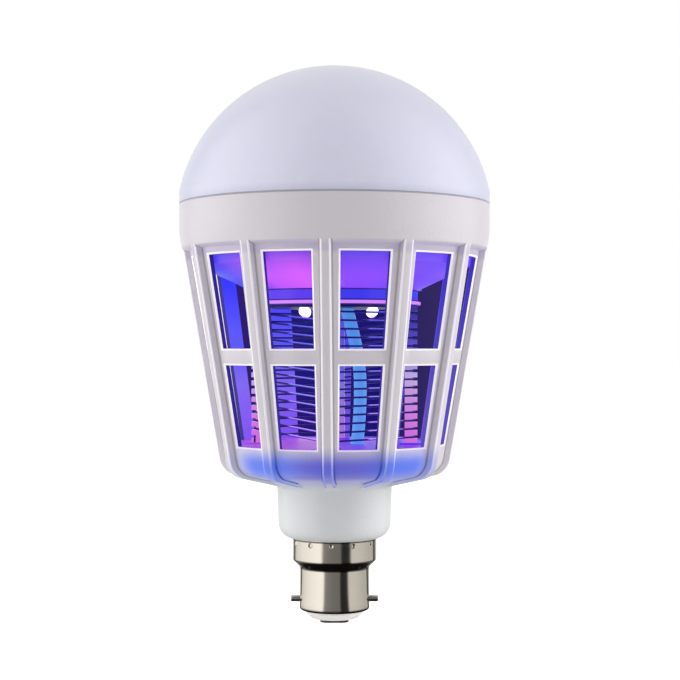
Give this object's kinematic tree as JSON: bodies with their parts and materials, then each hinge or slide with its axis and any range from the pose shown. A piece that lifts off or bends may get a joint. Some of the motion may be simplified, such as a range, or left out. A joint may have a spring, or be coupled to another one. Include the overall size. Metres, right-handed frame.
{
  "type": "insect killer light bulb",
  "caption": "Bayonet cap light bulb with an opal dome over a tapering white cage, whose windows show ultraviolet lamps and a high voltage wire grid.",
  "frame": {"origin": "on the bulb's axis at the lowest point of the cap's two contacts", "axes": "+Z from the cap towards the dome, X through the two bayonet pins, -Y the front seen in the picture"},
  "size_m": [0.0978, 0.0978, 0.1746],
  "materials": {
    "cage_plastic": "satin white moulding",
    "dome_plastic": "opal, smooth",
    "tray_plastic": "white, lit violet by the lamps",
    "base_plastic": "white, lit violet by the lamps",
    "comb_plastic": "white, lit violet by the lamps",
    "grid_wire": "drawn wire",
    "sleeve_rubber": "pale blue, smooth",
    "cap_metal": "bright nickel plate",
    "pin_metal": "nickel plated",
    "contact_metal": "tinned",
    "insulator": "pale moulding",
    "lamp_board_metal": "white lacquer on metal",
    "circuit_board": "glass fibre board",
    "lamp_chip": "resin",
    "uv_chip": "clear resin",
    "screw_steel": "zinc plated",
    "component_dark": "moulded",
    "component_blue": "dipped",
    "component_red": "moulded",
    "can_sleeve": "sleeved can",
    "lead_insulation": "smooth"
  },
  "bodies": {
    "root": {"guard_cage": "cage_plastic", "diffuser_dome": "dome_plastic", "light_tray": "tray_plastic", "grid_base": "base_plastic", "comb_post_front": "comb_plastic", "comb_post_right": "comb_plastic", "comb_post_rear": "comb_plastic", "comb_post_left": "comb_plastic", "grid_wire_live": "grid_wire", "grid_wire_return": "grid_wire", "lead_sleeve": "sleeve_rubber", "cap_shell": "cap_metal", "bayonet_pin_left": "pin_metal", "bayonet_pin_right": "pin_metal", "contact_front": "contact_metal", "contact_rear": "contact_metal", "cap_insulator": "insulator", "lamp_board": "lamp_board_metal", "white_leds": "lamp_chip", "lamp_board_screws": "screw_steel", "uv_board": "circuit_board", "uv_leds": "uv_chip", "uv_board_screws": "screw_steel", "base_screws": "screw_steel", "driver_board": "circuit_board", "smoothing_capacitor": "can_sleeve", "film_capacitor": "component_red", "multiplier_capacitors": "component_blue", "multiplier_diodes": "component_dark", "bridge_rectifier": "component_dark", "fuse_resistor": "component_blue", "contact_lead_front": "lead_insulation", "contact_lead_rear": "lead_insulation"}
  },
  "joints": []
}
